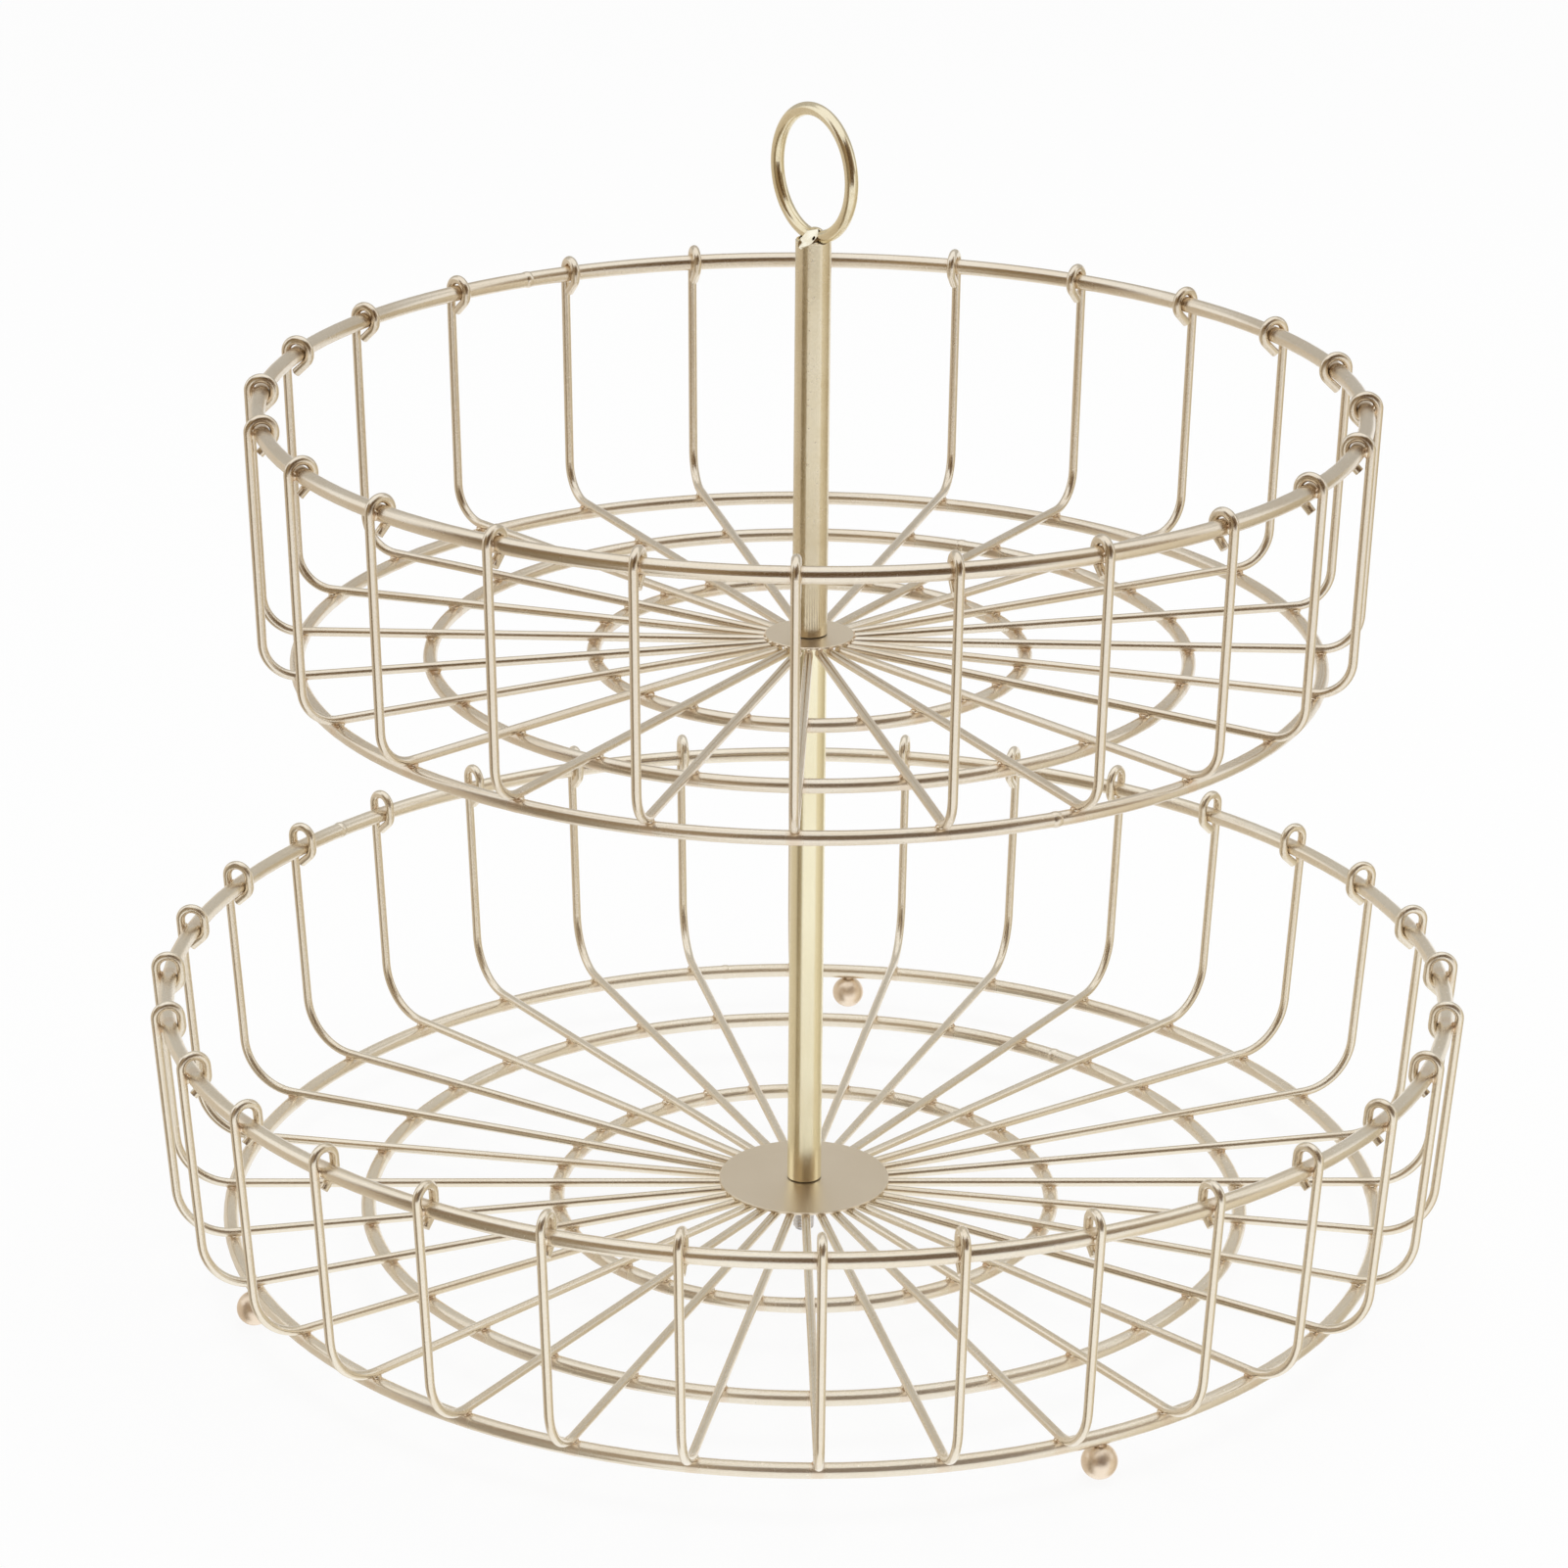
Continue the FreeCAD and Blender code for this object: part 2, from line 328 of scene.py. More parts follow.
@dataclass(frozen=True)
class GoldFinish:
    """Satin champagne-gold plating, cloudy and finely grained, warmer where it was welded, with a painted
    shadow line where it meets other pieces.

    Attributes:
        name: what its materials' names start with.
        light: the plating where it is palest.
        deep: the plating where it is deepest.
        roughness: how dull it is on the whole.
        grain: the way in which the fine grain runs.
        grain_size: the grain's size across its run.
        grain_depth: the depth of the grain's relief.
        along_share: how fast the grain changes along the pole, where it runs that way.
        round_size: the grain that one radian round the pole passes, where it runs that way.
        cloud_size: the size of its paler and deeper patches.
        cloud_share: how much of the shade comes from the patches, the rest being grain.
        shade_band: the noise over which deep turns to light.
        speck_size: the size of its small specks.
        speck_band: the noise over which a speck comes up.
        speck_rise: a speck's height, as a share of the grain's.
        unevenness: how much of the dulling below is used.
        cloud_dulling: change of roughness over the patches.
        grain_dulling: change of roughness over the grain.
        speck_dulling: added roughness on a speck.
        metallic: 1 for bare plating, less where its lacquer scatters light.
        tint: the colour that heat draws out.
        tint_least: the tint's strength at a weld between the patches.
        tint_gain: how much the patches add to that.
        heat_dulling: added roughness at a weld.
        painted_shadow_width: the width of the painted shadow line in the gap at a joint.
        painted_shadow_colour: the colour of that painted shadow.
        painted_shadow_dulling: added roughness in that painted shadow.
    """

    name: str
    light: Colour
    deep: Colour
    roughness: float
    grain: Grain = Grain.EVEN
    grain_size: float = 0.80 * MM
    grain_depth: float = 0.006 * MM
    along_share: float = 0.06
    round_size: float = 0.8 * MM
    cloud_size: float = 17.0 * MM
    cloud_share: float = 0.7
    shade_band: Band = (0.30, 0.70)
    speck_size: float = 0.9 * MM
    speck_band: Band = (0.66, 0.76)
    speck_rise: float = 0.3
    unevenness: float = 0.35
    cloud_dulling: float = 0.14
    grain_dulling: float = 0.12
    speck_dulling: float = 0.06
    metallic: float = 1.0
    tint: Colour = (0.84, 0.64, 0.45)
    tint_least: float = 0.05
    tint_gain: float = 0.5
    heat_dulling: float = 0.05
    painted_shadow_width: float = 0.35 * MM
    painted_shadow_colour: Colour = (0.16, 0.12, 0.07)
    painted_shadow_dulling: float = 0.3

    def grain_place(self, graph: Graph, place: Value) -> Value:
        """Draw the grain out along its run.

        Args:
            graph: the graph to add nodes to.
            place: the point on the piece.

        Returns:
            The point at which the grain is read.
        """
        if self.grain is Grain.ALONG_POLE:
            return graph.vector("MULTIPLY", place, (1.0, 1.0, self.along_share))
        if self.grain is Grain.ROUND_POLE:
            x, y, height = graph.split(place)
            turn = graph.math("ARCTAN2", y, x) * self.round_size
            return graph.join(graph.pole_distance(place), turn, height)
        return place

    def material(self, label: str, marks: HeatMarks = HeatMarks(), joints: Sequence[Joint] = ()) -> Material:
        """The finish as a material.

        Args:
            label: what the finish is on.
            marks: where welding has warmed it.
            joints: where it meets other pieces, with a painted shadow line in the gap there.

        Returns:
            The new material.
        """
        material, graph = new_graph(f"{self.name}_{label}")
        place = graph.place()
        cloud = graph.noise(place, self.cloud_size)
        grain = graph.noise(self.grain_place(graph, place), self.grain_size)
        speck = graph.ramp(graph.noise(place, self.speck_size, detail=1.0), *self.speck_band)
        heat = marks.mask(graph, place)
        shade = cloud * self.cloud_share + grain * (1.0 - self.cloud_share)
        plating = graph.mix(self.deep, self.light, graph.ramp(shade, *self.shade_band))
        colour = graph.mix(plating, self.tint, heat * (self.tint_least + cloud * self.tint_gain))
        patchy = (cloud - 0.5) * self.cloud_dulling + (grain - 0.5) * self.grain_dulling
        uneven = patchy + speck * self.speck_dulling
        dull = self.roughness + uneven * self.unevenness + heat * self.heat_dulling
        # Painted shadow: a dark line in the colour along the gap at each joint
        for joint in joints:
            line = graph.ramp(joint.gap(graph, place), self.painted_shadow_width, self.painted_shadow_width / 2)
            colour = graph.mix(colour, self.painted_shadow_colour, line)
            dull = dull + line * self.painted_shadow_dulling
        surface = {
            "Base Color": colour,
            "Metallic": self.metallic,
            "Roughness": dull,
            "Normal": graph.bump(grain + speck * self.speck_rise, self.grain_depth),
        }
        graph.output(graph.node("ShaderNodeBsdfPrincipled", inputs=surface))
        return material


@dataclass(frozen=True)
class WeldFinish:
    """Plated weld metal: rippled, with coppery and bright patches."""

    name: str = "weld_gold"
    bright: Colour = (0.97, 0.88, 0.72)
    copper: Colour = (0.80, 0.60, 0.41)
    roughness: float = 0.27
    copper_dulling: float = 0.16
    patch_size: float = 1.6 * MM
    patch_band: Band = (0.36, 0.62)
    ripple_size: float = 0.7 * MM
    ripple_depth: float = 0.06 * MM

    def material(self, label: str) -> Material:
        """The finish as a material.

        Args:
            label: which welds it is on.

        Returns:
            The new material.
        """
        material, graph = new_graph(f"{self.name}_{label}")
        place = graph.place()
        patch = graph.ramp(graph.noise(place, self.patch_size), *self.patch_band)
        ripple = graph.noise(place, self.ripple_size)
        surface = {
            "Base Color": graph.mix(self.copper, self.bright, patch),
            "Metallic": 1.0,
            "Roughness": self.roughness + (1.0 - patch) * self.copper_dulling,
            "Normal": graph.bump(ripple, self.ripple_depth),
        }
        graph.output(graph.node("ShaderNodeBsdfPrincipled", inputs=surface))
        return material


@dataclass(frozen=True)
class ZincFinish:
    """Bright zinc plating with spangle, with painted shade in the roots of a thread."""

    name: str = "zinc_steel"
    bright: Colour = (0.93, 0.94, 0.98)
    dark: Colour = (0.78, 0.79, 0.84)
    roughness: float = 0.30
    dark_dulling: float = 0.22
    spangle_size: float = 0.9 * MM
    spangle_share: float = 0.6
    fine_size: float = 0.25 * MM
    fine_depth: float = 0.008 * MM
    shade_band: Band = (0.15, 0.65)
    painted_root_shade: float = 0.25

    def material(self, label: str, root: float = 0.0, crest: float = 0.0) -> Material:
        """The finish as a material.

        Args:
            label: what the finish is on.
            root: radius of a thread's root, or 0 where there is no thread.
            crest: radius of the thread's crest.

        Returns:
            The new material.
        """
        material, graph = new_graph(f"{self.name}_{label}")
        place = graph.place()
        cells = graph.node("ShaderNodeTexVoronoi", inputs={"Vector": place, "Scale": 1.0 / self.spangle_size})
        fine = graph.noise(place, self.fine_size)
        shade = graph.ramp(cells * self.spangle_share + fine * (1.0 - self.spangle_share), *self.shade_band)
        if crest > root:
            # Painted shade: the colour darkens towards the thread's root
            shade = shade * graph.ramp(graph.pole_distance(place), root, crest, low=self.painted_root_shade)
        surface = {
            "Base Color": graph.mix(self.dark, self.bright, shade),
            "Metallic": 1.0,
            "Roughness": self.roughness + (1.0 - shade) * self.dark_dulling,
            "Normal": graph.bump(fine, self.fine_depth),
        }
        graph.output(graph.node("ShaderNodeBsdfPrincipled", inputs=surface))
        return material


LOWER_WIRE_GOLD = GoldFinish(
    "lower_wire_gold", light=(0.917, 0.849, 0.722), deep=(0.874, 0.785, 0.636), roughness=0.255,
    grain_depth=0.0015 * MM, metallic=0.94,
)
LOWER_RING_GOLD = replace(LOWER_WIRE_GOLD, name="lower_ring_gold", metallic=0.79)
# The upper tier's gold is the lower tier's made darker: painted shade, as the plating is the same on both
# tiers
UPPER_WIRE_SHADED_GOLD = replace(
    LOWER_WIRE_GOLD, name="upper_wire_gold_painted_shade", light=(0.876, 0.802, 0.680), deep=(0.832, 0.738, 0.598),
    metallic=1.0,
)
UPPER_RING_SHADED_GOLD = replace(UPPER_WIRE_SHADED_GOLD, name="upper_ring_gold_painted_shade", metallic=0.93)
BALL_GOLD = GoldFinish(
    "ball_gold", light=(1.00, 0.87, 0.71), deep=(0.95, 0.79, 0.62), roughness=0.36, metallic=0.87,
)
TUBE_GOLD = GoldFinish(
    "tube_gold", light=(1.00, 0.94, 0.71), deep=(0.97, 0.90, 0.65), roughness=0.24,
    grain=Grain.ALONG_POLE, grain_size=0.30 * MM, grain_depth=0.001 * MM,
)
BRUSHED_GOLD = GoldFinish(
    "brushed_gold", light=(0.87, 0.79, 0.61), deep=(0.78, 0.685, 0.495), roughness=0.22,
    grain_size=0.45 * MM, grain_depth=0.012 * MM, cloud_size=9.0 * MM, unevenness=1.0,
)
HANDLE_GOLD = GoldFinish(
    "handle_gold", light=(0.905, 0.825, 0.625), deep=(0.83, 0.728, 0.50), roughness=0.19,
    grain_depth=0.001 * MM,
)
PLATE_GOLD = GoldFinish(
    "plate_gold", light=(0.93, 0.835, 0.68), deep=(0.90, 0.80, 0.64), roughness=0.37,
    grain=Grain.ROUND_POLE, grain_size=0.30 * MM, grain_depth=0.002 * MM,
)
WELD_GOLD = WeldFinish()
# Real weld necks, darkened in colour into a painted contact shadow where each ball meets the ring
NECK_PAINTED_SHADOW_WELD = WeldFinish("neck_weld_painted_shadow", bright=(0.72, 0.55, 0.38), copper=(0.46, 0.32, 0.20), roughness=0.34)
GROUND_WELD = WeldFinish(
    "ground_weld", bright=(1.00, 0.96, 0.81), copper=(0.97, 0.90, 0.71), roughness=0.20,
    patch_size=3.0 * MM, ripple_depth=0.004 * MM,
)
# Near-black painted shade for the pit in the ground weld and for its side beside the handle's gap
PIT_PAINTED_SHADE = WeldFinish(
    "pit_painted_shade", bright=(0.34, 0.23, 0.13), copper=(0.13, 0.08, 0.04), roughness=0.50, patch_size=0.6 * MM,
)
ZINC = ZincFinish()


def dress(node: str, material: Material) -> None:
    """Give a CAD node's own mesh a material.

    Args:
        node: the node's name.
        material: its new finish.
    """
    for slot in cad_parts[node].material_slots:
        slot.material = material
    LOG.info("dressed %s in %s", node, material.name)


def make_piece(
    name: str, shape: bmesh.types.BMesh, materials: Sequence[Material], body: str
) -> Object:
    """Turn a finished shape into a piece that rides on a body.

    Args:
        name: the piece's name.
        shape: its mesh, in the basket's frame. It is freed here.
        materials: its finishes, in the order of its faces' material numbers.
        body: the CAD body that carries it.

    Returns:
        The new object.
    """
    for face in shape.faces:
        face.smooth = True
    mesh = bpy.data.meshes.new(name)
    shape.to_mesh(mesh)
    shape.free()
    for material in materials:
        mesh.materials.append(material)
    piece = bpy.data.objects.new(name, mesh)
    bpy.context.scene.collection.objects.link(piece)
    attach(piece, body)
    LOG.info("made %s: %d faces on %s", name, len(mesh.polygons), body)
    return piece


@dataclass(frozen=True)
class Nugget:
    """A small lens of weld metal that was squeezed out of a joint, never quite even.

    Attributes:
        size: its half lengths along its own axes, in millimetres.
        size_spread: how far each of them may differ, as a share.
        turn_spread: how far it may be turned about its upright axis, in radians.
        tip_spread: how far it may be tipped over, in radians.
        sides: faces round it.
        rows: faces from its top to its bottom.
    """

    size: Sequence[float]
    size_spread: float = 0.14
    turn_spread: float = 0.2
    tip_spread: float = 0.12
    sides: int = 8
    rows: int = 6

    def add(self, shape: bmesh.types.BMesh, place: Matrix, chance: random.Random) -> None:
        """Add one lens to a mesh.

        Args:
            shape: the mesh to add to.
            place: where the lens sits, and which way it faces.
            chance: the source of its small unevenness.
        """
        least, most = 1.0 - self.size_spread, 1.0 + self.size_spread
        uneven = Vector([part * MM * chance.uniform(least, most) for part in self.size])
        turn = Matrix.Rotation(chance.uniform(-self.turn_spread, self.turn_spread), 4, "Z")
        tip = Matrix.Rotation(chance.uniform(-self.tip_spread, self.tip_spread), 4, "X")
        spread = place @ turn @ tip @ Matrix.Diagonal(uneven).to_4x4()
        bmesh.ops.create_uvsphere(
            shape, u_segments=self.sides, v_segments=self.rows, radius=1.0, matrix=spread
        )


@dataclass(frozen=True)
class WireRing:
    """One closed ring of round wire, lying level, as its CAD node has it.

    Attributes:
        node: its CAD node.
        radius: the radius of its centre line.
        height: the height of its centre line.
        wire: the wire's diameter.
        seam_length: how far the weld that closes it runs along the wire.
        seam_swell: how much thicker than the wire that weld is, as a share.
        seam_fall: how fast the weld thins towards its ends, which sink into the wire above 1.
        seam_sides: faces round the weld.
        seam_steps: faces along the weld.
    """

    node: str
    radius: float
    height: float
    wire: float
    seam_length: float = 2.6 * MM
    seam_swell: float = 0.09
    seam_fall: float = 1.8
    seam_sides: int = 16
    seam_steps: int = 8

    @classmethod
    def read(cls, node: str) -> "WireRing":
        """Take a ring's centre line and its wire from its node's box.

        Args:
            node: the ring's CAD node.

        Returns:
            The ring.
        """
        low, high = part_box(node)
        wire = high.z - low.z
        return cls(node, high.x - wire / 2, (low.z + high.z) / 2, wire)

    def seam(self, angle: float) -> bmesh.types.BMesh:
        """The ground-down butt weld that closes the ring.

        Args:
            angle: where the seam is, from +X.

        Returns:
            A closed sleeve round the wire, whose ends sink into it.
        """
        shape = bmesh.new()
        half = self.seam_length / 2 / self.radius
        start = (
            Matrix.Rotation(angle - half, 4, "Z")
            @ Matrix.Translation((self.radius, 0.0, self.height))
            @ Matrix.Rotation(math.pi / 2, 4, "X")
        )
        bmesh.ops.create_circle(shape, segments=self.seam_sides, radius=self.wire / 2, matrix=start)
        loop = list(shape.verts) + list(shape.edges)
        bmesh.ops.spin(shape, geom=loop, axis=UP, cent=ORIGIN, angle=2 * half, steps=self.seam_steps)
        for vert in shape.verts:
            turn = math.atan2(vert.co.y, vert.co.x)
            centre = Vector((math.cos(turn) * self.radius, math.sin(turn) * self.radius, self.height))
            share = math.remainder(turn - angle, 2 * math.pi) / half
            swell = self.seam_swell * (1.0 - self.seam_fall * share * share)
            vert.co = centre + (vert.co - centre) * (1.0 + swell)
        bmesh.ops.holes_fill(shape, edges=shape.edges, sides=0)
        bmesh.ops.recalc_face_normals(shape, faces=shape.faces)
        return shape


@dataclass
class WireTier:
    """One basket: rim, three base rings, ribs and hub disc, with the welds that hold them."""

    name: str
    rib_count: int
    first_rib_angle: float
    seam_angles: Mapping[str, float]
    hub_weld: Nugget
    hub_weld_inset: float
    wire_finish: GoldFinish
    ring_finish: GoldFinish
    seed: int
    ring_weld: Nugget = Nugget((1.3, 1.3, 0.6))
    rim_weld: Nugget = Nugget((0.55, 1.25, 1.3))
    rim: WireRing = field(init=False)
    base_rings: dict[str, WireRing] = field(init=False)
    chance: random.Random = field(init=False)

    def __post_init__(self) -> None:
        """Read the rings from the frame."""
        self.rim = WireRing.read(f"{self.name}_rim")
        names = ("outer", "middle", "inner")
        self.base_rings = {name: WireRing.read(f"{self.name}_base_ring_{name}") for name in names}
        self.chance = random.Random(self.seed)

    @property
    def body(self) -> str:
        """The CAD body that carries this tier."""
        return f"{self.name}_basket"

    def rib_angles(self) -> Iterator[float]:
        """The angle of each rib from +X."""
        for number in range(self.rib_count):
            yield math.radians(self.first_rib_angle) + number * 2 * math.pi / self.rib_count

    def weld_row(self, name: str, radius: float, height: float, nugget: Nugget) -> None:
        """Make one piece of all the welds on a circle round the pole, one at each rib.

        Args:
            name: what the row joins.
            radius: the circle's radius.
            height: the circle's height.
            nugget: one weld, with its half lengths outward, along the circle and upward.
        """
        shape = bmesh.new()
        for angle in self.rib_angles():
            place = Matrix.Rotation(angle, 4, "Z") @ Matrix.Translation((radius, 0.0, height))
            nugget.add(shape, place, self.chance)
        label = f"{self.name}_{name}_welds"
        make_piece(label, shape, [WELD_GOLD.material(label)], self.body)

    def build(self) -> None:
        """Make the welds and the rings' seams."""
        for name, ring in self.base_rings.items():
            self.weld_row(f"{name}_ring", ring.radius, ring.height + ring.wire / 2, self.ring_weld)
        rim_side = self.rim.radius + self.rim.wire / 2
        self.weld_row("rim", rim_side, self.rim.height, self.rim_weld)
        low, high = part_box(f"{self.name}_hub_disc")
        self.weld_row("hub", high.x - self.hub_weld_inset * MM, low.z, self.hub_weld)
        for name, ring in {"rim": self.rim, **self.base_rings}.items():
            label = f"{self.name}_{name}_seam"
            shape = ring.seam(math.radians(self.seam_angles[name]))
            finish = self.wire_finish if ring is self.rim else self.ring_finish
            make_piece(label, shape, [finish.material(label)], self.body)

    def dress(self) -> None:
        """Finish the rim, rings, ribs and disc."""
        rings = list(self.base_rings.values())
        circles = tuple((ring.radius, ring.height + ring.wire / 2) for ring in rings)
        rim_circle = (self.rim.radius + self.rim.wire / 2, self.rim.height)
        rib_gold = self.wire_finish.material(f"{self.name}_ribs", HeatMarks(circles=(*circles, rim_circle)))
        ring_marks = HeatMarks(count=self.rib_count, first_angle=math.radians(self.first_rib_angle))
        ring_gold = self.ring_finish.material(f"{self.name}_rings", ring_marks)
        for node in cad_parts:
            if node.startswith(f"{self.name}_ribs_"):
                dress(node, rib_gold)
        for ring in rings:
            dress(ring.node, ring_gold)
        dress(self.rim.node, self.wire_finish.material(f"{self.name}_rim", ring_marks))
        dress(f"{self.name}_hub_disc", PLATE_GOLD.material(f"{self.name}_hub_disc"))


@dataclass
class BallFeet:
    """The balls under the outer base ring and the necks that weld them to it."""

    nodes: Sequence[str] = ("ball_foot_1", "ball_foot_2", "ball_foot_3")
    neck_outline: Sequence[tuple[float, float]] = (
        (0.0, -1.1), (1.7, -0.40), (1.3, -0.15), (1.2, 0.06), (1.45, 0.36), (1.0, 0.9), (0.0, 1.0),
    )
    neck_sides: int = 16
    merge_gap: float = 0.001 * MM

    def neck(self, node: str) -> bmesh.types.BMesh:
        """Make a waisted fillet between the top of one ball and the ring.

        Args:
            node: the ball's CAD node.

        Returns:
            The fillet as a closed mesh.
        """
        low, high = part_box(node)
        centre = (low + high) / 2
        shape = bmesh.new()
        top = Vector((centre.x, centre.y, high.z))
        points = [shape.verts.new(top + Vector((out, 0.0, up)) * MM) for out, up in self.neck_outline]
        edges = [shape.edges.new(pair) for pair in zip(points, points[1:])]
        bmesh.ops.spin(
            shape, geom=points + edges, axis=UP, cent=centre, angle=2 * math.pi, steps=self.neck_sides,
            use_merge=True,
        )
        bmesh.ops.remove_doubles(shape, verts=shape.verts, dist=self.merge_gap)
        bmesh.ops.recalc_face_normals(shape, faces=shape.faces)
        return shape

    def build(self) -> None:
        """Make a neck for each ball."""
        for node in self.nodes:
            label = f"{node}_neck"
            # The necks carry the painted contact shadow at the top of each ball
            make_piece(label, self.neck(node), [NECK_PAINTED_SHADOW_WELD.material(label)], "lower_basket")

    def dress(self) -> None:
        """Finish the balls."""
        gold = BALL_GOLD.material("ball_feet")
        for node in self.nodes:
            dress(node, gold)


@dataclass
class CentrePole:
    """The two tubes, their threaded inserts and the ring handle welded into the top."""

    handle_turn: float = -55.0
    handle_wire: float = 3.0
    bead_centre: Sequence[float] = (0.0, 2.1, 0.1)
    bead_size: Sequence[float] = (3.2, 1.75, 1.5)
    fill_centre: Sequence[float] = (0.0, 0.0, -0.5)
    fill_size: Sequence[float] = (3.35, 3.35, 1.0)
    crown_centre: Sequence[float] = (1.2, 0.0, 1.7)
    crown_size: Sequence[float] = (2.5, 1.2, 1.1)
    flat_heading: float = -134.7
    flat_rise: float = 32.6
    flat_distance: float = 2.58
    flat_outline: Sequence[tuple[float, float]] = (
        (-0.60, -3.50), (0.145, -3.70), (1.10, -3.10), (2.66, -1.80), (3.45, 0.297), (2.64, 1.723),
        (-0.26, 0.828), (-1.20, -1.116),
    )
    flat_depth: float = 2.6
    flat_rounding: float = 0.12
    rounding_steps: int = 3
    # How far a face of the weld must turn towards its own +X to take the painted shade
    painted_shade_facing: float = 0.6
    pit_place: Sequence[float] = (2.45, -0.55)
    pit_size: Sequence[float] = (0.38, 0.52)
    pit_border: float = 0.05
    pit_cuts: int = 3
    pit_depth: float = 1.2
    lens_sides: int = 28
    lens_rows: int = 16
    inserts: Sequence[str] = ("lower_tube_foot_insert", "lower_tube_head_insert", "upper_tube_insert")

    @property
    def tube_top(self) -> float:
        """The height of the upper tube's open end."""
        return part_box("upper_tube")[1].z

    def lens(self, centre: Sequence[float], size: Sequence[float]) -> bmesh.types.BMesh:
        """A lens of weld metal at the tube's mouth, turned with the handle.

        Args:
            centre: its middle from the tube's mouth, in millimetres: along the handle, across it and up.
            size: its half lengths, in millimetres.

        Returns:
            The lens as a closed mesh.
        """
        shape = bmesh.new()
        turn = Matrix.Rotation(math.radians(self.handle_turn), 4, "Z")
        spread = Matrix.Diagonal(Vector(size) * MM).to_4x4()
        middle = Matrix.Translation(Vector(centre) * MM)
        place = Matrix.Translation((0.0, 0.0, self.tube_top)) @ turn @ middle @ spread
        bmesh.ops.create_uvsphere(
            shape, u_segments=self.lens_sides, v_segments=self.lens_rows, radius=1.0, matrix=place
        )
        return shape

    def flat_place(self) -> Matrix:
        """The frame of the flat that is ground on the weld, facing along its own -Y."""
        return (
            Matrix.Translation((0.0, 0.0, self.tube_top))
            @ Matrix.Rotation(math.radians(self.flat_heading + 90.0), 4, "Z")
            @ Matrix.Rotation(math.radians(-self.flat_rise), 4, "X")
            @ Matrix.Translation((0.0, -self.flat_distance * MM, 0.0))
        )

    def ground_weld(self) -> bmesh.types.BMesh:
        """Make the weld at the front of the tube's mouth, ground flat, with a small pit left in it in painted
        shade.

        Returns:
            The weld as a closed mesh, whose faces in painted shade have the second material.
        """
        shape = bmesh.new()
        corners = [Vector((along, 0.0, up)) * MM for along, up in self.flat_outline]
        flat = shape.faces.new([shape.verts.new(corner) for corner in corners])
        back = bmesh.ops.extrude_face_region(shape, geom=[flat])["geom"]
        far = [part for part in back if isinstance(part, bmesh.types.BMVert)]
        bmesh.ops.translate(shape, verts=far, vec=(0.0, self.flat_depth * MM, 0.0))
        bmesh.ops.recalc_face_normals(shape, faces=shape.faces)
        bmesh.ops.bevel(
            shape, geom=list(self.front_face(shape).edges), offset=self.flat_rounding * MM,
            offset_type="OFFSET", segments=self.rounding_steps, profile=0.5, affect="EDGES", material=-1,
        )
        # Faces turned along the weld's own +X, beside the gap under the handle, take the painted shade
        for face in shape.faces:
            face.material_index = int(face.normal.x > self.painted_shade_facing)
        self.sink_pit(shape, self.front_face(shape))
        bmesh.ops.transform(shape, matrix=self.flat_place(), verts=shape.verts)
        bmesh.ops.recalc_face_normals(shape, faces=shape.faces)
        return shape

    @staticmethod
    def front_face(shape: bmesh.types.BMesh) -> bmesh.types.BMFace:
        """The face that lies furthest towards -Y."""
        return min(shape.faces, key=lambda face: face.calc_center_median().y)

    def sink_pit(self, shape: bmesh.types.BMesh, flat: bmesh.types.BMFace) -> None:
        """Draw part of the flat in to a small hole, push its floor inward and give the hole painted shade.

        Args:
            shape: the weld's mesh, whose flat faces -Y.
            flat: the flat face.
        """
        wide, high = self.pit_size
        bmesh.ops.inset_region(shape, faces=[flat], thickness=self.pit_border * MM)
        bmesh.ops.inset_region(shape, faces=[flat], thickness=wide * MM)
        bmesh.ops.subdivide_edges(shape, edges=list(flat.edges), cuts=self.pit_cuts)
        centre = flat.calc_center_median()
        pit = Vector((self.pit_place[0] * MM, centre.y, self.pit_place[1] * MM))
        for vert in flat.verts:
            out = (vert.co - centre).normalized()
            vert.co = pit + Vector((out.x * wide, 0.0, out.z * high)) * MM
        for edge in flat.edges:
            edge.smooth = False
        hole = bmesh.ops.extrude_discrete_faces(shape, faces=[flat])["faces"]
        bmesh.ops.translate(shape, verts=hole[0].verts, vec=(0.0, self.pit_depth * MM, 0.0))
        # The hole's floor and walls take the painted shade
        for face in (hole[0], *(loop.link_loop_radial_next.face for loop in hole[0].loops)):
            face.material_index = 1

    def build(self) -> None:
        """Make the welds round the ring handle's seat."""
        shapes = {
            "front": self.ground_weld(),
            "back": self.lens(self.bead_centre, self.bead_size),
            "mouth": self.lens(self.fill_centre, self.fill_size),
            "crown": self.lens(self.crown_centre, self.crown_size),
        }
        for name, shape in shapes.items():
            label = f"ring_handle_{name}_weld"
            outside = HANDLE_GOLD if name == "crown" else GROUND_WELD
            finishes = [outside.material(label)]
            if name == "front":
                finishes.append(PIT_PAINTED_SHADE.material(label))
            make_piece(label, shape, finishes, "upper_pole")

    def seat(self) -> RingJoint:
        """Find where the ring handle meets the tube.

        Returns:
            The joint that the tube's finish is told of.
        """
        low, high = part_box("ring_handle")
        height = (high.z - low.z) / 2
        wire = self.handle_wire * MM
        return RingJoint(low.z + height, height - wire / 2, wire, math.radians(self.handle_turn))

    def dress(self) -> None:
        """Finish the tubes, the handle and the inserts."""
        lower_foot, upper_foot = (PlateJoint(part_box(node)[0].z) for node in ("lower_tube", "upper_tube"))
        # Both tubes get a painted shadow line at their feet, and the upper tube one under the handle's wire
        # too
        dress("lower_tube", TUBE_GOLD.material("lower_tube", joints=[lower_foot]))
        dress("upper_tube", BRUSHED_GOLD.material("upper_tube", joints=[upper_foot, self.seat()]))
        dress("ring_handle", HANDLE_GOLD.material("ring_handle"))
        zinc = ZINC.material("inserts")
        for node in self.inserts:
            dress(node, zinc)


